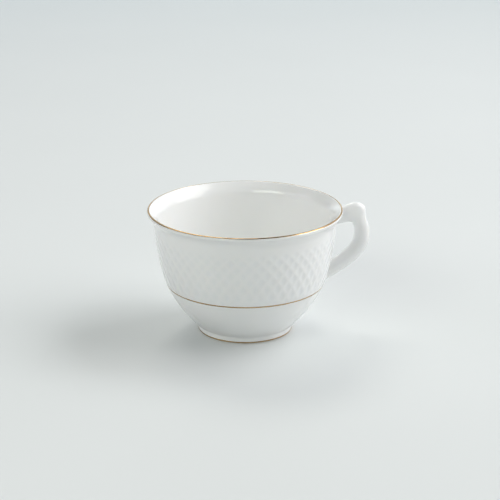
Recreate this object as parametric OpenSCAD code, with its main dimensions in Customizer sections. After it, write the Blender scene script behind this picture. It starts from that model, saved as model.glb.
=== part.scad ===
// Teacup with a gilded lip, waist line and foot line, and an ear handle with a thumb spur.
// The foot's centre is the origin, the cup stands on z = 0, and the handle points along +X.
// All sizes are in millimetres.

/* [Bowl] */
// Height from the table to the top of the lip
cup_h = 62.5; // [61:0.5:65]
// Radius of the lip at its outer edge
lip_r = 48.3; // [47.3:0.1:49.5]
// Thickness of the rounded lip
lip_t = 1.9; // [1.7:0.1:2.3]
// How far the lip leans out from upright, in degrees
lip_tilt = 40; // [30:1:50]
// Radius of the neck, where the wall starts to flare out to the lip
neck_r = 45.15; // [44.5:0.05:45.6]
// Depth of the neck below the top of the lip
neck_drop = 6.5; // [5.5:0.5:8]
// Radius of the bowl at the waist line
waist_r = 39.3; // [38.5:0.1:40]
// Height of the waist line
waist_z = 25; // [24:0.5:26]
// Wall thickness at the waist
wall_t = 2.4; // [2:0.1:3]
// Wall thickness at the neck
neck_t = 2.15; // [1.9:0.05:2.5]
// Thickness of the floor in the middle
floor_t = 2.4; // [2:0.1:3.5]

/* [Foot] */
// Radius of the foot ring at the table
foot_r = 23.4; // [22.5:0.1:24]
// Height of the foot ring
foot_h = 3.2; // [2.6:0.1:4]
// Width of the foot ring at the table
foot_w = 2.8; // [2.2:0.1:3.6]
// How far the foot ring widens, outside and inside, from the table up to the bowl
foot_draft = 0.3; // [0.1:0.1:0.8]
// Bevel of the foot ring's two lower edges
foot_bevel = 0.3; // [0.2:0.1:0.5]

/* [Handle] */
// Thickness of the handle's middle, seen from the side
handle_t = 7.7; // [7:0.1:8.5]
// Width of the handle's middle, seen from behind
handle_w = 6.8; // [6:0.1:8]
// Height of the thumb spur on the handle's top corner
spur_h = 2.9; // [2:0.1:3.4]
// How far the slip that sticks the handle to the wall spreads round each end
slip_spread = 0.4; // [0.2:0.1:0.6]

/* [Gilding] */
// Thickness of the gilding
gild_t = 0.12; // [0.1:0.01:0.2]
// Where the lip's gilding starts on the outside, in degrees round the lip from straight out
lip_line_from = 40; // [0:5:50]
// Where it ends on the inside
lip_line_to = 104; // [90:2:130]
// Width of the waist line
waist_line_w = 0.75; // [0.5:0.05:1.2]
// Height of the foot line
foot_line_h = 0.7; // [0.4:0.05:1]

/* [Hidden] */

$fn = 180;
CURVE_STEPS = 16;        // straight steps in each curve of the bowl's outline
LIP_STEPS = 12;          // steps round the lip
HANDLE_SIDES = 24;       // sides of the handle's cross-section
RINGS_PER_STATION = 5;   // cross-sections between one handle station and the next

// Curves.
function unit(v) = v / norm(v);
function heading(deg) = [cos(deg), sin(deg)];
function left_of(v) = [-v.y, v.x];
function bezier_point(p, t) =
    p[0] * (1 - t) ^ 3 + 3 * p[1] * t * (1 - t) ^ 2 + 3 * p[2] * t ^ 2 * (1 - t) + p[3] * t ^ 3;
function bezier(p, steps) = [for (i = [0 : steps]) bezier_point(p, i / steps)];
function arc(c, r, from, to, steps) =
    [for (i = [0 : steps]) c + r * heading(from + (to - from) * i / steps)];

// Outside of the bowl, as radius and height. The waist line lies on a straight step of the wall.
FOOT_TOP_R = foot_r + foot_draft;
NECK = [neck_r, cup_h - neck_drop];
NECK_LEAN = unit([0.12, 1]);
WAIST_LEAN = unit([0.38, 1]);
FOOT_LEAN = unit([1.2, 1]);
WAIST = [waist_r, waist_z];
WAIST_LOW = WAIST - WAIST_LEAN * waist_line_w / 2;
WAIST_HIGH = WAIST + WAIST_LEAN * waist_line_w / 2;
LIP_CENTRE = [lip_r - lip_t / 2, cup_h - lip_t / 2];
LIP_LEAN = heading(90 - lip_tilt);
LIP_OUT = LIP_CENTRE + heading(-lip_tilt) * lip_t / 2;
LIP_IN = LIP_CENTRE + heading(180 - lip_tilt) * lip_t / 2;

lower_wall = bezier([[FOOT_TOP_R, foot_h], [FOOT_TOP_R, foot_h] + 7.5 * FOOT_LEAN,
                     WAIST_LOW - 8 * WAIST_LEAN, WAIST_LOW], CURVE_STEPS);
upper_wall = bezier([WAIST_HIGH, WAIST_HIGH + 10 * WAIST_LEAN,
                     NECK - 10 * NECK_LEAN, NECK], CURVE_STEPS);
flare = bezier([NECK, NECK + 2.5 * NECK_LEAN, LIP_OUT - 1.5 * LIP_LEAN, LIP_OUT], CURVE_STEPS / 2);
outer_wall = concat(lower_wall, upper_wall, flare);

// Inside of the bowl, from the lip down to the middle of the floor.
FLOOR = [0, foot_h + floor_t];
INNER_NECK = NECK + neck_t * left_of(NECK_LEAN);
INNER_WAIST = WAIST + wall_t * left_of(WAIST_LEAN);
inner_wall = concat(
    bezier([LIP_IN, LIP_IN - 1.5 * LIP_LEAN, INNER_NECK + 2.5 * NECK_LEAN, INNER_NECK],
           CURVE_STEPS / 2),
    bezier([INNER_NECK, INNER_NECK - 10 * NECK_LEAN, INNER_WAIST + 10 * WAIST_LEAN, INNER_WAIST],
           CURVE_STEPS),
    bezier([INNER_WAIST, INNER_WAIST - 15 * WAIST_LEAN, FLOOR + [24, 0], FLOOR], CURVE_STEPS));

// The handle's stations, from inside the wall at the top to inside the wall at the bottom:
// [out from the lip's edge, up from the lip's top, thickness and width beyond the middle's].
STATIONS = [
    [ -5.3,  -6.8, 1.0, 0.8], [ -0.8,  -6.2, 0.7, 0.4], [  3.7,  -5.7, 0.5, 0.1],
    [  7.7,  -7.0, 0.0, 0.0], [ 10.2, -11.0, -0.4, 0.0], [ 11.0, -16.0, 0.0, 0.0],
    [ 10.1, -21.0, 0.4, 0.0], [  7.2, -25.3, 0.4, 0.1], [  3.2, -28.8, 0.2, 0.3],
    [ -1.3, -31.8, 0.0, 0.6], [ -6.3, -34.6, 0.0, 1.0], [-11.3, -37.3, 0.0, 1.4]];
LAST = len(STATIONS) - 1;
UPPER_CUT = 0.9;         // place along the stations where the upper slip ends and the handle starts
LOWER_CUT = 10.15;       // place where the handle ends and the lower slip starts
ROOT_SLOPE = [0.33, 1];  // slope of the wall at both roots, which the end sections lie along
UPPER_TURN = [2.2, 1];   // places between which the sections turn from square to that slope
LOWER_TURN = [7.4, 9.6];
SPUR_AT = 2.95;          // station of the spur's tip
SPUR_RISE = 0.95;        // stations over which the spur rises from the arm
SPUR_FALL = 0.4;         // stations over which it drops to the handle's back

// A smooth line through all the stations, at any place u from 0 to LAST.
function station(i) = STATIONS[max(0, min(LAST, i))];
function spline(a, b, c, d, t) =
    (2 * b + (c - a) * t + (2 * a - 5 * b + 4 * c - d) * t ^ 2 + (3 * b - a - 3 * c + d) * t ^ 3) / 2;
function along(u) = let (i = min(floor(u), LAST - 1))
    spline(station(i - 1), station(i), station(i + 1), station(i + 2), u - i);
function line_point(u) = let (s = along(u)) [lip_r + s[0], cup_h + s[1]];
function line_heading(u) =
    unit(line_point(min(u + 0.05, LAST)) - line_point(max(u - 0.05, 0)));
function spur(u) = let (d = (u - SPUR_AT) / (u < SPUR_AT ? SPUR_RISE : SPUR_FALL))
    spur_h * exp(-d ^ 2);

// Which way a section's outer side points: square to the line, and along the wall at the roots.
function eased(from, to, u) = let (t = max(0, min(1, (u - from) / (to - from)))) t ^ 2 * (3 - 2 * t);
function outward(u) =
    let (square = left_of(line_heading(u)), slope = unit(ROOT_SLOPE),
         upper = eased(UPPER_TURN[0], UPPER_TURN[1], u), lower = eased(LOWER_TURN[0], LOWER_TURN[1], u))
    unit(square * (1 - upper - lower) + slope * (upper - lower));

// One rounded cross-section of the handle, grown by spread, as points in space.
function rounded(v) = sign(v) * abs(v) ^ 0.88;
function section(u, spread) =
    let (s = along(u), p = line_point(u), out = outward(u),
         t = (handle_t + s[2]) / 2 / (out * left_of(line_heading(u))) + spread,
         w = (handle_w + s[3]) / 2 + spread)
    [for (k = [0 : HANDLE_SIDES - 1])
        let (a = 360 * k / HANDLE_SIDES,
             q = p + out * rounded(cos(a)) * (t + (cos(a) > 0 ? spur(u) : 0)))
        [q.x, w * rounded(sin(a)), q.y]];

// A closed solid through the handle's cross-sections from place u0 to place u1.
module handle_run(u0, u1, spread = 0) {
    rings = ceil((u1 - u0) * RINGS_PER_STATION);
    n = HANDLE_SIDES;
    points = [for (i = [0 : rings]) each section(u0 + (u1 - u0) * i / rings, spread)];
    sides = [for (i = [0 : rings - 1], k = [0 : n - 1])
        [i * n + k, i * n + (k + 1) % n, (i + 1) * n + (k + 1) % n, (i + 1) * n + k]];
    caps = [[for (k = [n - 1 : -1 : 0]) k], [for (k = [0 : n - 1]) rings * n + k]];
    polyhedron(points, concat(sides, caps));
}

// The bowl's outside, filled in, for trimming the slip that is stuck to it.
module bowl_core() {
    lip = arc(LIP_CENTRE, lip_t / 2, -lip_tilt, lip_line_from, LIP_STEPS / 2);
    rotate_extrude() polygon(concat([[0, foot_h]], outer_wall, lip, [[0, lip[len(lip) - 1].y]]));
}

module bowl() {
    lip_outside = arc(LIP_CENTRE, lip_t / 2, -lip_tilt, lip_line_from, LIP_STEPS / 2);
    seat = arc(LIP_CENTRE, lip_t / 2 - gild_t, lip_line_from, lip_line_to, LIP_STEPS);
    lip_inside = arc(LIP_CENTRE, lip_t / 2, lip_line_to, 180 - lip_tilt, LIP_STEPS / 2);
    color("white") rotate_extrude() polygon(
        concat([[0, foot_h]], outer_wall, lip_outside, seat, lip_inside, inner_wall));
}

module foot_ring() {
    inner_r = foot_r - foot_w;
    slope = foot_draft / foot_h;
    color("whitesmoke") rotate_extrude() polygon([
        [inner_r + foot_bevel, 0], [foot_r - foot_bevel, 0],
        [foot_r + slope * foot_bevel, foot_bevel], [FOOT_TOP_R, foot_h],
        [inner_r - foot_draft, foot_h], [inner_r - slope * foot_bevel, foot_bevel]]);
}

module handle() {
    color("white") handle_run(UPPER_CUT, LOWER_CUT);
}

module upper_slip_joint() {
    color("ghostwhite") difference() {
        handle_run(0, UPPER_CUT, slip_spread);
        bowl_core();
    }
}

module lower_slip_joint() {
    color("ghostwhite") difference() {
        handle_run(LOWER_CUT, LAST, slip_spread);
        bowl_core();
    }
}

module rim_gilding() {
    color("goldenrod") rotate_extrude() polygon(concat(
        arc(LIP_CENTRE, lip_t / 2, lip_line_from, lip_line_to, LIP_STEPS),
        arc(LIP_CENTRE, lip_t / 2 - gild_t, lip_line_to, lip_line_from, LIP_STEPS)));
}

// The waist line is painted up to the handle's root on each side.
module waist_gilding() {
    root_half = (handle_w + station(10)[3]) / 2 + slip_spread + 0.2;
    gap = 2 * asin(root_half / waist_r);
    out = -gild_t * left_of(WAIST_LEAN);
    color("goldenrod") rotate([0, 0, gap / 2]) rotate_extrude(angle = 360 - gap)
        polygon([WAIST_LOW, WAIST_LOW + out, WAIST_HIGH + out, WAIST_HIGH]);
}

module foot_gilding() {
    slope = foot_draft / foot_h;
    low = [foot_r + slope * foot_bevel, foot_bevel];
    high = low + foot_line_h * [slope, 1];
    color("goldenrod") rotate_extrude()
        polygon([low, low + [gild_t, 0], high + [gild_t, 0], high]);
}

bowl();
foot_ring();
handle();
upper_slip_joint();
lower_slip_joint();
rim_gilding();
waist_gilding();
foot_gilding();
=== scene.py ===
"""The looks of a gilded porcelain teacup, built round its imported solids.

Sizes are in millimetres until a mesh is made, and an outline's points are (radius, height).
"""
import math

import bmesh
import bpy
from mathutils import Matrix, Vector


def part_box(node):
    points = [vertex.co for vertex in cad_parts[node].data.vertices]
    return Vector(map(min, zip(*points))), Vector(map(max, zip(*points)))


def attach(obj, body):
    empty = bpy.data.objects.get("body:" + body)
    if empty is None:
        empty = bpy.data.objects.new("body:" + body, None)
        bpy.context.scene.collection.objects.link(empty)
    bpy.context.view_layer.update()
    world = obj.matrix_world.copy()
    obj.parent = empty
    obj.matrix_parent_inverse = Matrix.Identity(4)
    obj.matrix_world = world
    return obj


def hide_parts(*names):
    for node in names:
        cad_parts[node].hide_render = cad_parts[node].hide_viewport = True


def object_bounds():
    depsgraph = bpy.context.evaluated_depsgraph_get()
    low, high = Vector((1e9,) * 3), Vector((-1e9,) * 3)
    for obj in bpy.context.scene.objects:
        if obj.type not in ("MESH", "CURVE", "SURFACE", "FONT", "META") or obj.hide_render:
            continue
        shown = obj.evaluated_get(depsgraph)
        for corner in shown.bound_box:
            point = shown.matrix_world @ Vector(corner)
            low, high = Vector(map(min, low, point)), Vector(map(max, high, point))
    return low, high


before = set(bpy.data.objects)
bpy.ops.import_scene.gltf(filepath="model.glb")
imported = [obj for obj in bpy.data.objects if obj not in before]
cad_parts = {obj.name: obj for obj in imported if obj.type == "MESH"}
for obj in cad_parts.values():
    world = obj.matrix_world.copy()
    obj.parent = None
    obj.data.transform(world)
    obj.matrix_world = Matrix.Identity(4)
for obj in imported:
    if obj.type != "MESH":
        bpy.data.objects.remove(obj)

CAD_LOW, CAD_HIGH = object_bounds()
MM = 0.001
TURN = 2 * math.pi

# Driving sizes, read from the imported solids.
bowl_low, bowl_high = (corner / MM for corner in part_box("bowl"))
foot_low, foot_high = (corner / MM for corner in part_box("foot_ring"))
waist_low, waist_high = (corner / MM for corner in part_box("waist_gilding"))
LIP_R = min(-bowl_low.x, bowl_high.x, bowl_high.y, -bowl_low.y)
CUP_H = CAD_HIGH.z / MM
FOOT_TOP_R = min(-foot_low.x, foot_high.x)
FOOT_H = foot_high.z
WAIST_Z = (waist_low.z + waist_high.z) / 2

# The bowl's wall. A lean is the wall's direction at a place, and a pull is how far its curve keeps to
# that lean.
LIP_T = 1.9
LIP_TILT = math.radians(40)
NECK_IN = 3.15
NECK_DROP = 6.5
NECK = Vector((LIP_R - NECK_IN, CUP_H - NECK_DROP))
NECK_T = 2.15
WAIST_R = 39.3
WAIST = Vector((WAIST_R, WAIST_Z))
WALL_T = 2.4
FLOOR_T = 2.4
NECK_LEAN = Vector((0.12, 1)).normalized()
WAIST_LEAN = Vector((0.38, 1)).normalized()
FOOT_LEAN = Vector((1.2, 1)).normalized()
FOOT_PULL = 7.5
BELLY_PULL = 8
WALL_PULL = 10
NECK_PULL = 2.5
LIP_PULL = 1.5
INNER_PULL = 15
FLOOR_PULL = Vector((24, 0))
UNDERSIDE_R = 21
UNDERSIDE_RISE = 0.5
UNDERSIDE_PULLS = Vector((12, 0)), Vector((4, 0))
SPIN_STEPS = 576
FOOT_SPIN_STEPS = 288
MERGE = 0.0001

# The moulded lattice: two families of ribs that cross all round the bowl. The lean is how many rib
# spacings a rib moves round per millimetre of height, at the waist line, and its gain per millimetre.
RIBS = 48
RIB_LEAN = 0.092
RIB_LEAN_GAIN = 0.00156
RIB_HEIGHT = 0.25
RIB_SHARPNESS = 1.6
RIB_OVERLAP = 0.75
PIT_SINK = 0.35
OUTSIDE_REACH = 0.5
LATTICE_LOW = 25.9
LATTICE_HIGH = 54.0
LATTICE_FADE_LOW = 1.6
LATTICE_FADE_HIGH = 4.5

# The foot ring. Its coves are where its sides curve into the bowl, and it is bare of glaze from the
# table up through the fade.
FOOT_DRAFT = 0.3
FOOT_R = FOOT_TOP_R - FOOT_DRAFT
FOOT_W = 2.8
FOOT_ROUND_IN = 0.45
FOOT_ROUND_OUT = 0.4
COVE_LOW = 1.5
COVE_TOP = 4.6
BARE_FADE = (0.05, 0.3)

# The handle's stations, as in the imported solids: out from the lip's edge, up from its top,
# and the thickness and width beyond the middle's. Between the stations in UPPER_TURN and in
# LOWER_TURN, a section swings from square to the handle's line to along the wall.
STATIONS = [
    (-5.3, -6.8, 1.0, 0.8), (-0.8, -6.2, 0.7, 0.4), (3.7, -5.7, 0.5, 0.1),
    (7.7, -7.0, 0.0, 0.0), (10.2, -11.0, -0.4, 0.0), (11.0, -16.0, 0.0, 0.0),
    (10.1, -21.0, 0.4, 0.0), (7.2, -25.3, 0.4, 0.1), (3.2, -28.8, 0.2, 0.3),
    (-1.3, -31.8, 0.0, 0.6), (-6.3, -34.6, 0.0, 1.0), (-11.3, -37.3, 0.0, 1.4)]
LAST = len(STATIONS) - 1
ROOT_STATION = 10
HANDLE_T = 7.7
HANDLE_W = 6.8
SPUR_H = 2.9
SPUR_AT = 2.95
SPUR_RISE = 0.95
SPUR_FALL = 0.4
UPPER_CUT = 0.9
LOWER_CUT = 10.15
ROOT_SLOPE = Vector((0.33, 1)).normalized()
UPPER_TURN = (2.2, 1)
LOWER_TURN = (7.4, 9.6)
HANDLE_SIDES = 56
RINGS_PER_STATION = 12

# The slip at the handle's roots. It runs up the handle by a number of stations for each millimetre of
# its size, laps over the cut end, and its two edges are buried in the handle and in the wall.
SLIP_RUN = 0.16
SLIP_LAP = 0.06
HANDLE_BURY = 0.03
WALL_BURY = 0.12
SLIP_ROWS = 10

# Gilding. The lip's line lies between two angles up from straight outwards, and each painted line's
# underside is sunk in the glaze.
GOLD_T = 0.03
LIP_LINE = (math.radians(40), math.radians(104))
LIP_LINE_BEVEL = 0.03
LIP_LINE_SINK = 0.04
LIP_LINE_WAVER = 0.10
WAIST_LINE_W = 0.75
WAIST_LINE_STOP = 0.5
FOOT_LINE = (0.3, 1.0)
LINE_SINK = 0.08
LINE_EDGE_WAVER = 0.12
LINE_WAVER = 0.10
LINE_END_W = 0.35
LINE_END_TAPER = 0.012

# The camera and the room.
CAMERA_TURN = math.radians(-10)
CAMERA_PITCH = math.radians(18.81)
CAMERA_SIDE = 2.4
CAMERA_BACK = 771.0
CAMERA_HEIGHT = 303.3
CAMERA_LENS = 118.2
AIR_COLOUR = (0.18, 0.19, 0.2)
PANEL_AWAY = 1.1
TABLE_HALF = 6
# Name, bearing, width, bottom, top, brightness and colour of each panel of soft light.
PANELS = [
    ("window_near", -7, 0.8, 0.2, 1.9, 2.9, (1.0, 0.98, 0.98)),
    ("window_far", 27, 0.8, 0.1, 1.0, 1.3, (1.0, 0.98, 1.0)),
    ("window_far_top", 27, 0.8, 1.0, 1.9, 6.0, (0.98, 1.0, 1.0)),
    ("back_wall", 87, 1.9, 0.1, 1.0, 0.6, (0.98, 1.0, 1.0)),
    ("back_glow", 90, 2.4, 0.0, 0.3, 0.6, (0.8, 0.95, 1.0)),
    ("back_top", 107, 0.8, 1.0, 1.9, 4.5, (1.0, 0.98, 0.9)),
    ("left_wall", 187, 0.8, 0.1, 1.0, 1.0, (1.0, 0.95, 1.0)),
    ("left_window", 236, 0.9, 0.6, 1.1, 4.0, (0.96, 1.0, 0.9))]


# Curves and outlines.
def bezier(points, steps):
    """Points along a cubic curve, both ends included."""
    a, b, c, d = (Vector(p) for p in points)
    ts = [i / steps for i in range(steps + 1)]
    return [a * (1 - t) ** 3 + 3 * b * t * (1 - t) ** 2 + 3 * c * t * t * (1 - t) + d * t ** 3 for t in ts]


def arc(centre, radius, start, end, steps):
    """Points along a circle from one angle to another, both ends included."""
    angles = [start + (end - start) * i / steps for i in range(steps + 1)]
    return [centre + radius * Vector((math.cos(a), math.sin(a))) for a in angles]


def left_of(v):
    """The direction a quarter turn to the left."""
    return Vector((-v.y, v.x))


def eased(start, end, value):
    """0 before start, 1 after end, and a smooth rise between them."""
    t = max(0.0, min(1.0, (value - start) / (end - start)))
    return t * t * (3 - 2 * t)


def thinned(points):
    """The points without those that repeat the one before."""
    return [p for i, p in enumerate(points) if i == 0 or (p - points[i - 1]).length > 1e-4]


LIP_CENTRE = Vector((LIP_R - LIP_T / 2, CUP_H - LIP_T / 2))
LIP_LEAN = Vector((math.sin(LIP_TILT), math.cos(LIP_TILT)))
LIP_BODY_R = LIP_T / 2 - GOLD_T
LIP_OUT, LIP_IN = arc(LIP_CENTRE, LIP_BODY_R, -LIP_TILT, math.pi - LIP_TILT, 1)
FOOT_TOP = Vector((FOOT_TOP_R, FOOT_H))

OUTER_WALL = thinned(
    bezier([FOOT_TOP, FOOT_TOP + FOOT_PULL * FOOT_LEAN, WAIST - BELLY_PULL * WAIST_LEAN, WAIST], 26)
    + bezier([WAIST, WAIST + WALL_PULL * WAIST_LEAN, NECK - WALL_PULL * NECK_LEAN, NECK], 62)
    + bezier([NECK, NECK + NECK_PULL * NECK_LEAN, LIP_OUT - LIP_PULL * LIP_LEAN, LIP_OUT], 10))
INNER_NECK = NECK + NECK_T * left_of(NECK_LEAN)
INNER_WAIST = WAIST + WALL_T * left_of(WAIST_LEAN)
INNER_FLOOR = Vector((0, FOOT_H + FLOOR_T))
INNER_WALL = thinned(
    bezier([LIP_IN, LIP_IN - LIP_PULL * LIP_LEAN, INNER_NECK + NECK_PULL * NECK_LEAN, INNER_NECK], 8)
    + bezier([INNER_NECK, INNER_NECK - WALL_PULL * NECK_LEAN,
              INNER_WAIST + WALL_PULL * WAIST_LEAN, INNER_WAIST], 12)
    + bezier([INNER_WAIST, INNER_WAIST - INNER_PULL * WAIST_LEAN,
              INNER_FLOOR + FLOOR_PULL, INNER_FLOOR], 16))


def wall_radius(z):
    """Radius of the bowl's outside at a height, and of the foot's top below it."""
    if z <= OUTER_WALL[0].y:
        return OUTER_WALL[0].x
    for low, high in zip(OUTER_WALL, OUTER_WALL[1:]):
        if low.y <= z <= high.y:
            return low.x + (high.x - low.x) * (z - low.y) / (high.y - low.y)
    return OUTER_WALL[-1].x


def lattice_shown(z):
    """How far the lattice shows at a height: 1 inside its band, and fading to 0 at the band's edges."""
    shown = eased(LATTICE_LOW, LATTICE_LOW + LATTICE_FADE_LOW, z)
    return shown * (1 - eased(LATTICE_HIGH - LATTICE_FADE_HIGH, LATTICE_HIGH, z))


def lattice(angle, z):
    """Height of the moulded ribs at a place on the wall, from 0 in a pit to 1 where two ribs cross."""
    up = z - WAIST_Z
    rise = TURN * up * (RIB_LEAN + RIB_LEAN_GAIN * up)
    left, right = ((0.5 + 0.5 * math.cos(RIBS * angle + way * rise)) ** RIB_SHARPNESS for way in (1, -1))
    return lattice_shown(z) * (left + right - RIB_OVERLAP * left * right) / (2 - RIB_OVERLAP)


def waver(angle, seed):
    """A slow hand-painted unevenness round the cup, from about -1 to 1."""
    waves = [(3, 0.35), (7, 0.25), (13, 0.2), (29, 0.15), (53, 0.1)]
    return sum(size * math.sin(count * angle + seed * (count + 1.7)) for count, size in waves)


# Meshes.
def spun(outline, closed=False, start=0.0, turn=TURN, steps=SPIN_STEPS):
    """A bmesh turned round the cup's axis from an outline of (radius, height) points."""
    bm = bmesh.new()
    side = Vector((math.cos(start), math.sin(start), 0))
    verts = [bm.verts.new(side * p[0] + Vector((0, 0, p[1]))) for p in outline]
    edges = [bm.edges.new(pair) for pair in zip(verts, verts[1:])]
    if closed:
        edges.append(bm.edges.new((verts[-1], verts[0])))
    whole = abs(turn - TURN) < 1e-9
    bmesh.ops.spin(bm, geom=verts + edges, cent=(0, 0, 0), axis=(0, 0, 1), dvec=(0, 0, 0), angle=turn,
                   steps=steps, use_merge=whole, use_duplicate=False)
    if closed and not whole:
        bmesh.ops.holes_fill(bm, edges=[e for e in bm.edges if e.is_boundary])
    return bm


def bent_tube(place, rows, sides):
    """A closed tube whose every point is place(row from 0 to 1, angle round the tube)."""
    bm = bmesh.new()
    circle = bmesh.ops.create_circle(bm, cap_ends=False, segments=sides, radius=1)["verts"]
    edges = list({e for v in circle for e in v.link_edges})
    bmesh.ops.spin(bm, geom=circle + edges, cent=(0, 0, 0), axis=(0, 0, 1), dvec=(0, 0, 1 / rows), angle=0,
                   steps=rows, use_merge=False, use_duplicate=False)
    bmesh.ops.holes_fill(bm, edges=[e for e in bm.edges if e.is_boundary])
    for v in bm.verts:
        v.co = place(v.co.z, math.atan2(v.co.y, v.co.x))
    return bm


def reshape(bm, move):
    """Moves every vertex to move(radius, angle, height)."""
    for v in bm.verts:
        angle = math.atan2(v.co.y, v.co.x)
        radius, z = move(math.hypot(v.co.x, v.co.y), angle, v.co.z)
        v.co = Vector((radius * math.cos(angle), radius * math.sin(angle), z))


def piece(name, bm, material, slot, *nodes):
    """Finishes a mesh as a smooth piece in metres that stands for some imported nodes."""
    bmesh.ops.remove_doubles(bm, verts=bm.verts, dist=MERGE)
    bmesh.ops.recalc_face_normals(bm, faces=bm.faces)
    bmesh.ops.scale(bm, vec=(MM, MM, MM), verts=bm.verts)
    mesh = bpy.data.meshes.new(name)
    bm.to_mesh(mesh)
    bm.free()
    for polygon in mesh.polygons:
        polygon.use_smooth = True
    mesh.materials.append(material)
    obj = bpy.data.objects.new(name, mesh)
    bpy.context.scene.collection.objects.link(obj)
    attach(obj, "root")
    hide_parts(*nodes)
    return obj


# Materials.
def start_material(name):
    """A new node material, its nodes and its links."""
    material = bpy.data.materials.new(name)
    material.use_nodes = True
    return material, material.node_tree.nodes, material.node_tree.links


def ramp(nodes, links, source, stops):
    """A colour ramp fed by source, with (place, grey or colour) stops."""
    node = nodes.new("ShaderNodeValToRGB")
    links.new(source, node.inputs["Fac"])
    for i, (place, value) in enumerate(stops):
        element = node.color_ramp.elements[i] if i < 2 else node.color_ramp.elements.new(place)
        element.position = place
        element.color = (*value, 1) if isinstance(value, tuple) else (value, value, value, 1)
    return node.outputs["Color"]


def noise(nodes, links, scale, stretch=(1, 1, 1), detail=3, roughness=0.5):
    """Noise on the object's own coordinates, with this many features per metre."""
    place = nodes.new("ShaderNodeTexCoord")
    mapping = nodes.new("ShaderNodeMapping")
    mapping.inputs["Scale"].default_value = stretch
    links.new(place.outputs["Object"], mapping.inputs["Vector"])
    texture = nodes.new("ShaderNodeTexNoise")
    texture.inputs["Scale"].default_value = scale
    texture.inputs["Detail"].default_value = detail
    texture.inputs["Roughness"].default_value = roughness
    links.new(mapping.outputs["Vector"], texture.inputs["Vector"])
    return texture.outputs["Fac"]


def mixed(nodes, links, factor, a, b):
    """Two colours mixed by a factor. Each may be a socket or a colour."""
    node = nodes.new("ShaderNodeMix")
    node.data_type = "RGBA"
    for socket, value in ((node.inputs[0], factor), (node.inputs[6], a), (node.inputs[7], b)):
        if isinstance(value, bpy.types.NodeSocket):
            links.new(value, socket)
        else:
            socket.default_value = (*value, 1) if isinstance(value, tuple) else value
    return node.outputs[2]


def bump(nodes, links, height, strength, distance):
    """A normal from a height texture, with the relief's depth in metres."""
    node = nodes.new("ShaderNodeBump")
    node.inputs["Strength"].default_value = strength
    node.inputs["Distance"].default_value = distance
    links.new(height, node.inputs["Height"])
    return node.outputs["Normal"]


def let_light_under(shader, weight):
    """Lets a little light pass under the porcelain's surface, red the furthest."""
    shader.inputs["Subsurface Weight"].default_value = weight
    shader.inputs["Subsurface Radius"].default_value = (1.0, 0.9, 0.75)
    shader.inputs["Subsurface Scale"].default_value = 0.0015


def glazed_porcelain(name, white=(0.88, 0.885, 0.875), pooled_and_pit_shade=(0.845, 0.858, 0.855)):
    """White porcelain under a clear glaze, with painted shade darkening the lattice's pits, where the glaze
    also pools a little.
    """
    material, nodes, links = start_material(name)
    shader = nodes["Principled BSDF"]
    cloudy = ramp(nodes, links, noise(nodes, links, 45, detail=4), [(0.35, 0.0), (0.7, 1.0)])
    body = mixed(nodes, links, cloudy, white, tuple(0.993 * c for c in white))
    hollow = nodes.new("ShaderNodeAttribute")
    hollow.attribute_name = "pit"
    # The pit attribute mixes in the darker colour: painted shade in the lattice's pits, together with a
    # little glaze pooling.
    links.new(mixed(nodes, links, hollow.outputs["Fac"], body, pooled_and_pit_shade), shader.inputs["Base Color"])
    polish = ramp(nodes, links, noise(nodes, links, 160), [(0.3, 0.28), (0.7, 0.3)])
    links.new(polish, shader.inputs["Roughness"])
    shader.inputs["Specular IOR Level"].default_value = 0.3
    shader.inputs["Coat Weight"].default_value = 1.0
    shader.inputs["Coat Roughness"].default_value = 0.12
    shader.inputs["Coat IOR"].default_value = 1.5
    let_light_under(shader, 0.12)
    return material


def burnished_gold(name):
    """Thin bright gold, brushed on by hand along the line and a little worn."""
    material, nodes, links = start_material(name)
    shader = nodes["Principled BSDF"]
    strokes = noise(nodes, links, 90, stretch=(1, 1, 25), detail=5, roughness=0.6)
    colour = ramp(nodes, links, strokes,
                  [(0.3, (0.34, 0.22, 0.10)), (0.55, (0.50, 0.34, 0.17)), (0.8, (0.66, 0.48, 0.27))])
    links.new(colour, shader.inputs["Base Color"])
    links.new(ramp(nodes, links, strokes, [(0.3, 0.26), (0.7, 0.16)]), shader.inputs["Roughness"])
    links.new(bump(nodes, links, strokes, 0.15, 0.00003), shader.inputs["Normal"])
    shader.inputs["Metallic"].default_value = 1.0
    return material


def foot_porcelain(name):
    """Glazed on its sides, and bare, smooth and slightly scuffed where it stands."""
    material, nodes, links = start_material(name)
    shader = nodes["Principled BSDF"]
    place = nodes.new("ShaderNodeTexCoord")
    height = nodes.new("ShaderNodeSeparateXYZ")
    links.new(place.outputs["Object"], height.inputs[0])
    bare_to, glazed_from = BARE_FADE
    standing = nodes.new("ShaderNodeMath")
    standing.operation = "MULTIPLY_ADD"
    standing.inputs[1].default_value = -1 / (glazed_from - bare_to) / MM
    standing.inputs[2].default_value = glazed_from / (glazed_from - bare_to)
    standing.use_clamp = True
    links.new(height.outputs["Z"], standing.inputs[0])
    bareness = standing.outputs[0]
    rubbed = noise(nodes, links, 700, detail=6, roughness=0.7)
    scuffs = ramp(nodes, links, rubbed, [(0.52, 0.0), (0.66, 1.0)])
    bare = mixed(nodes, links, scuffs, (0.82, 0.81, 0.78), (0.66, 0.65, 0.62))
    # The glazed sides' white is a little lighter than the bowl's: painted light for the light the table
    # throws back onto the foot.
    links.new(mixed(nodes, links, bareness, (0.90, 0.905, 0.895), bare), shader.inputs["Base Color"])
    polish = mixed(nodes, links, bareness, (0.12, 0.12, 0.12), (0.62, 0.62, 0.62))
    links.new(polish, shader.inputs["Roughness"])
    grain = noise(nodes, links, 2600, detail=3)
    links.new(bump(nodes, links, grain, 0.05, 0.0001), shader.inputs["Normal"])
    let_light_under(shader, 0.1)
    return material


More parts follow.
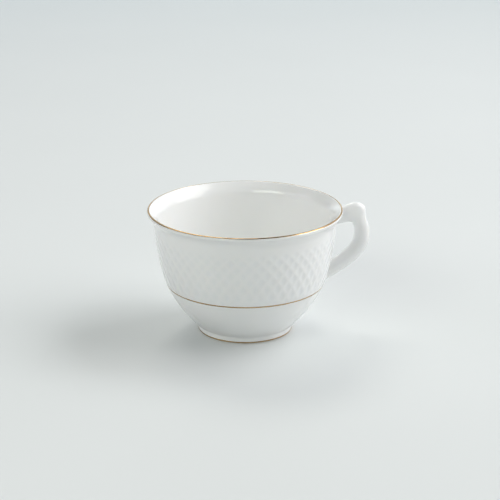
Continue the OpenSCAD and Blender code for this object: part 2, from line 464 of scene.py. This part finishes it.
def matt_table(name):
    """A pale, even, matt top."""
    material, nodes, links = start_material(name)
    shader = nodes["Principled BSDF"]
    soft = ramp(nodes, links, noise(nodes, links, 6, detail=2),
                [(0.3, (0.695, 0.72, 0.72)), (0.7, (0.705, 0.73, 0.73))])
    links.new(soft, shader.inputs["Base Color"])
    shader.inputs["Roughness"].default_value = 0.6
    shader.inputs["Specular IOR Level"].default_value = 0.4
    return material


# Pieces.
def make_bowl(material):
    """The bowl with its moulded lattice, from the middle of its underside over the lip to its floor."""
    middle = Vector((0, FOOT_H + UNDERSIDE_RISE))
    edge = Vector((UNDERSIDE_R, FOOT_H))
    underside = bezier([middle, middle + UNDERSIDE_PULLS[0], edge - UNDERSIDE_PULLS[1], edge], 10)
    lip = arc(LIP_CENTRE, LIP_BODY_R, -LIP_TILT, math.pi - LIP_TILT, 16)
    bm = spun(thinned(underside + OUTER_WALL + lip + INNER_WALL))
    pit = bm.verts.layers.float.new("pit")
    for v in bm.verts:
        z = v.co.z
        radius = math.hypot(v.co.x, v.co.y)
        if LATTICE_LOW < z < LATTICE_HIGH and radius > wall_radius(z) - OUTSIDE_REACH:
            height = lattice(math.atan2(v.co.y, v.co.x), z)
            shown = lattice_shown(z)
            # The pit value is how deep a place lies in a pit; the glaze colour is painted darker there as
            # painted shade.
            v[pit] = shown - height
            grown = (radius + RIB_HEIGHT * (height - PIT_SINK * shown)) / radius
            v.co = Vector((v.co.x * grown, v.co.y * grown, z))
    return piece("porcelain_bowl", bm, material, "glazed_porcelain", "bowl")


def make_foot_ring(material):
    """The foot ring, with a cove outside and inside where it runs into the bowl."""
    inner_r = FOOT_R - FOOT_W
    cove_out = bezier([(FOOT_TOP_R - 0.15, COVE_LOW), (FOOT_TOP_R, FOOT_H), (FOOT_TOP_R, FOOT_H),
                       (wall_radius(COVE_TOP) - 0.05, COVE_TOP)], 10)
    cove_in = bezier([(inner_r - 2.0, FOOT_H + 0.15), (inner_r - 0.3, FOOT_H), (inner_r - 0.3, FOOT_H),
                      (inner_r - 0.1, 1.2)], 10)
    centre_in = Vector((inner_r + FOOT_ROUND_IN, FOOT_ROUND_IN))
    centre_out = Vector((FOOT_R - FOOT_ROUND_OUT, FOOT_ROUND_OUT))
    round_in = arc(centre_in, FOOT_ROUND_IN, math.pi, 1.5 * math.pi, 6)
    round_out = arc(centre_out, FOOT_ROUND_OUT, -0.5 * math.pi, 0, 6)
    # Two corners inside the bowl's wall close the ring.
    buried = [Vector((FOOT_TOP_R, 5.0)), Vector((inner_r - 1.5, 4.2))]
    outline = thinned(round_out + cove_out + buried + cove_in + round_in)
    bm = spun(outline, closed=True, steps=FOOT_SPIN_STEPS)
    return piece("foot_ring_turned", bm, material, "foot_porcelain", "foot_ring")


def spline(a, b, c, d, t):
    """A smooth line's value a part t of the way from b to c, with a before b and d after c."""
    return (2 * b + (c - a) * t + (2 * a - 5 * b + 4 * c - d) * t ** 2
            + (3 * b - a - 3 * c + d) * t ** 3) / 2


def along(u):
    """The handle's line, thickness and width at a place u along its stations."""
    i = min(int(math.floor(u)), LAST - 1)
    near = [STATIONS[max(0, min(LAST, i + k))] for k in (-1, 0, 1, 2)]
    return [spline(*values, u - i) for values in zip(*near)]


def line_point(u):
    """The middle of the handle's section at a place u, as (out along x, height)."""
    s = along(u)
    return Vector((LIP_R + s[0], CUP_H + s[1]))


def line_heading(u):
    """Which way the handle's line runs at a place u."""
    return (line_point(min(u + 0.05, LAST)) - line_point(max(u - 0.05, 0))).normalized()


def outward(u):
    """Which way a section's outer side points: square to the line, and along the wall at the roots."""
    upper, lower = eased(*UPPER_TURN, u), eased(*LOWER_TURN, u)
    return (left_of(line_heading(u)) * (1 - upper - lower) + ROOT_SLOPE * (upper - lower)).normalized()


def spur(u):
    """How far the thumb spur stands out at a place along the handle."""
    d = (u - SPUR_AT) / (SPUR_RISE if u < SPUR_AT else SPUR_FALL)
    return SPUR_H * math.exp(-d * d)


def handle_point(u, angle, spread=0.0):
    """A point on the handle's surface, grown by spread."""
    s, out = along(u), outward(u)
    t = (HANDLE_T + s[2]) / 2 / out.dot(left_of(line_heading(u))) + spread
    w = (HANDLE_W + s[3]) / 2 + spread
    raised = spur(u) if math.cos(angle) > 0 else 0
    q = line_point(u) + out * math.cos(angle) * (t + raised)
    return Vector((q.x, w * math.sin(angle), q.y))


def make_handle(material):
    """The ear handle, cut off just outside the wall at both roots."""
    rows = int((LOWER_CUT - UPPER_CUT) * RINGS_PER_STATION)
    bm = bent_tube(lambda row, angle: handle_point(UPPER_CUT + (LOWER_CUT - UPPER_CUT) * row, angle),
                   rows, HANDLE_SIDES)
    return piece("ear_handle", bm, material, "glazed_porcelain", "handle")


def on_wall(point, sink):
    """The place on the bowl's outside level with a point, sunk a little into it."""
    angle = math.atan2(point.y, point.x)
    radius = wall_radius(point.z) - sink
    return Vector((radius * math.cos(angle), radius * math.sin(angle), point.z))


def wall_place(angle, near_u, far_u):
    """Where along the handle its surface meets the wall, near_u being outside the wall and far_u inside."""
    for _ in range(30):
        middle = (near_u + far_u) / 2
        p = handle_point(middle, angle)
        if math.hypot(p.x, p.y) > wall_radius(p.z):
            near_u = middle
        else:
            far_u = middle
    return near_u


def make_slip_joint(name, node, material, cut, near_u, far_u, fillet):
    """A smooth fillet of slip from the handle's surface to the wall."""
    way = math.copysign(1, near_u - far_u)

    def place(row, angle):
        meet = wall_place(angle, near_u, far_u)
        start = way * max(way * (meet + way * SLIP_RUN * fillet), way * (cut + way * SLIP_LAP))
        a = handle_point(start, angle, -HANDLE_BURY)
        b = handle_point(meet, angle)
        c = on_wall(handle_point(meet, angle, fillet), WALL_BURY)
        return a * (1 - row) ** 2 + b * 2 * row * (1 - row) + c * row * row

    bm = bent_tube(place, SLIP_ROWS, HANDLE_SIDES)
    return piece(name, bm, material, "glazed_porcelain", node)


def make_rim_gilding(material):
    """The line painted on the lip, with uneven edges."""
    start, end = LIP_LINE
    middle = (start + end) / 2
    outline = (arc(LIP_CENTRE, LIP_T / 2, start + LIP_LINE_BEVEL, end - LIP_LINE_BEVEL, 12)
               + arc(LIP_CENTRE, LIP_BODY_R - LIP_LINE_SINK, end, start, 4))
    bm = spun(outline, closed=True)

    def move(radius, angle, z):
        arm = Vector((radius, z)) - LIP_CENTRE
        across = math.atan2(arm.y, arm.x)
        edge = (across - middle) / (end - middle)
        across += edge * LIP_LINE_WAVER * waver(angle, 2.3 if edge > 0 else 5.1)
        p = LIP_CENTRE + arm.length * Vector((math.cos(across), math.sin(across)))
        return p.x, p.y

    reshape(bm, move)
    return piece("lip_line_gold", bm, material, "gilding", "rim_gilding")


def painted_line(low, high, radius_at, start, turn, seed):
    """A painted line round the cup between two heights, on a surface given by its radius at a height."""
    middle, half = (low + high) / 2, (high - low) / 2
    across = [-1, -0.92, -0.5, 0, 0.5, 0.92, 1]
    lift = [-0.6, 0.8, 1, 1, 1, 0.8, -0.6]
    outline = [(radius_at(middle + half * s) + GOLD_T * k, middle + half * s) for s, k in zip(across, lift)]
    outline += [(radius_at(z) - LINE_SINK, z) for z in (high, low)]
    bm = spun(outline, closed=True, start=start, turn=turn, steps=SPIN_STEPS)

    def move(radius, angle, z):
        edge = (z - middle) / half
        end = min((angle - start) % TURN, (start + turn - angle) % TURN)
        narrow = 1 if turn > TURN - 0.001 else LINE_END_W + (1 - LINE_END_W) * eased(0, LINE_END_TAPER, end)
        uneven = 1 + LINE_EDGE_WAVER * waver(angle, seed if edge > 0 else seed + 3)
        shifted = middle + half * (edge * narrow * uneven + LINE_WAVER * waver(angle, seed + 7))
        return radius + radius_at(shifted) - radius_at(z), shifted

    reshape(bm, move)
    return bm


def make_waist_gilding(material):
    """The line round the waist, which stops at the handle's root on each side."""
    root_half = (HANDLE_W + along(ROOT_STATION)[3]) / 2 + WAIST_LINE_STOP
    gap = 2 * math.asin(root_half / WAIST.x)
    bm = painted_line(WAIST_Z - WAIST_LINE_W / 2, WAIST_Z + WAIST_LINE_W / 2, wall_radius,
                      gap / 2, TURN - gap, 1.3)
    return piece("waist_line_gold", bm, material, "gilding", "waist_gilding")


def make_foot_gilding(material):
    """The line round the foot ring's outer side."""
    def foot_side(z):
        return FOOT_R + FOOT_DRAFT * z / FOOT_H

    bm = painted_line(*FOOT_LINE, foot_side, 0.0, TURN, 4.2)
    return piece("foot_line_gold", bm, material, "gilding", "foot_gilding")


# The room.
def turned(x, y, z):
    """A place in the camera's own frame, with y away from it, turned into the cup's frame."""
    c, s = math.cos(CAMERA_TURN), math.sin(CAMERA_TURN)
    return Vector((x * c - y * s, x * s + y * c, z))


def make_soft_panel(name, bearing, width, low, high, brightness, colour):
    """An upright panel of light facing the cup, bearing anticlockwise from the camera's right."""
    light = bpy.data.lights.new(name, "AREA")
    light.shape = "RECTANGLE"
    light.size, light.size_y = width, high - low
    light.energy = brightness * math.pi * width * (high - low)
    light.color = colour
    panel = bpy.data.objects.new(name, light)
    turn = math.radians(bearing)
    panel.location = turned(PANEL_AWAY * math.cos(turn), PANEL_AWAY * math.sin(turn), (low + high) / 2)
    panel.rotation_euler = (math.pi / 2, 0, turn + CAMERA_TURN + math.pi / 2)
    bpy.context.scene.collection.objects.link(panel)


def make_room():
    """The table, the air's even light and the soft panels."""
    bm = bmesh.new()
    bmesh.ops.create_grid(bm, x_segments=1, y_segments=1, size=TABLE_HALF)
    mesh = bpy.data.meshes.new("table_top")
    bm.to_mesh(mesh)
    bm.free()
    mesh.materials.append(matt_table("pale_table"))
    floor = bpy.data.objects.new("table_top", mesh)
    bpy.context.scene.collection.objects.link(floor)

    world = bpy.data.worlds.new("room")
    world.use_nodes = True
    background = world.node_tree.nodes["Background"]
    background.inputs["Color"].default_value = (*AIR_COLOUR, 1)
    background.inputs["Strength"].default_value = 1.0
    bpy.context.scene.world = world
    for panel in PANELS:
        make_soft_panel(*panel)


def make_camera():
    """The camera, turned a little round the cup and tipped down to it."""
    data = bpy.data.cameras.new("camera")
    data.lens = CAMERA_LENS
    data.sensor_width = 36
    data.clip_start = 0.01
    camera = bpy.data.objects.new("camera", data)
    camera.location = turned(CAMERA_SIDE * MM, -CAMERA_BACK * MM, CAMERA_HEIGHT * MM)
    camera.rotation_euler = (math.pi / 2 - CAMERA_PITCH, 0, CAMERA_TURN)
    bpy.context.scene.collection.objects.link(camera)
    bpy.context.scene.camera = camera


make_camera()
make_room()
bpy.context.scene.view_settings.view_transform = "Standard"

glaze = glazed_porcelain("glazed_porcelain")
gold = burnished_gold("burnished_gold")
make_bowl(glaze)
make_foot_ring(foot_porcelain("foot_porcelain"))
make_handle(glaze)
make_slip_joint("upper_root_fillet", "upper_slip_joint", glaze, UPPER_CUT, near_u=2.2, far_u=0, fillet=0.9)
make_slip_joint("lower_root_fillet", "lower_slip_joint", glaze, LOWER_CUT, near_u=8.6, far_u=LAST, fillet=1)
make_rim_gilding(gold)
make_waist_gilding(gold)
make_foot_gilding(gold)
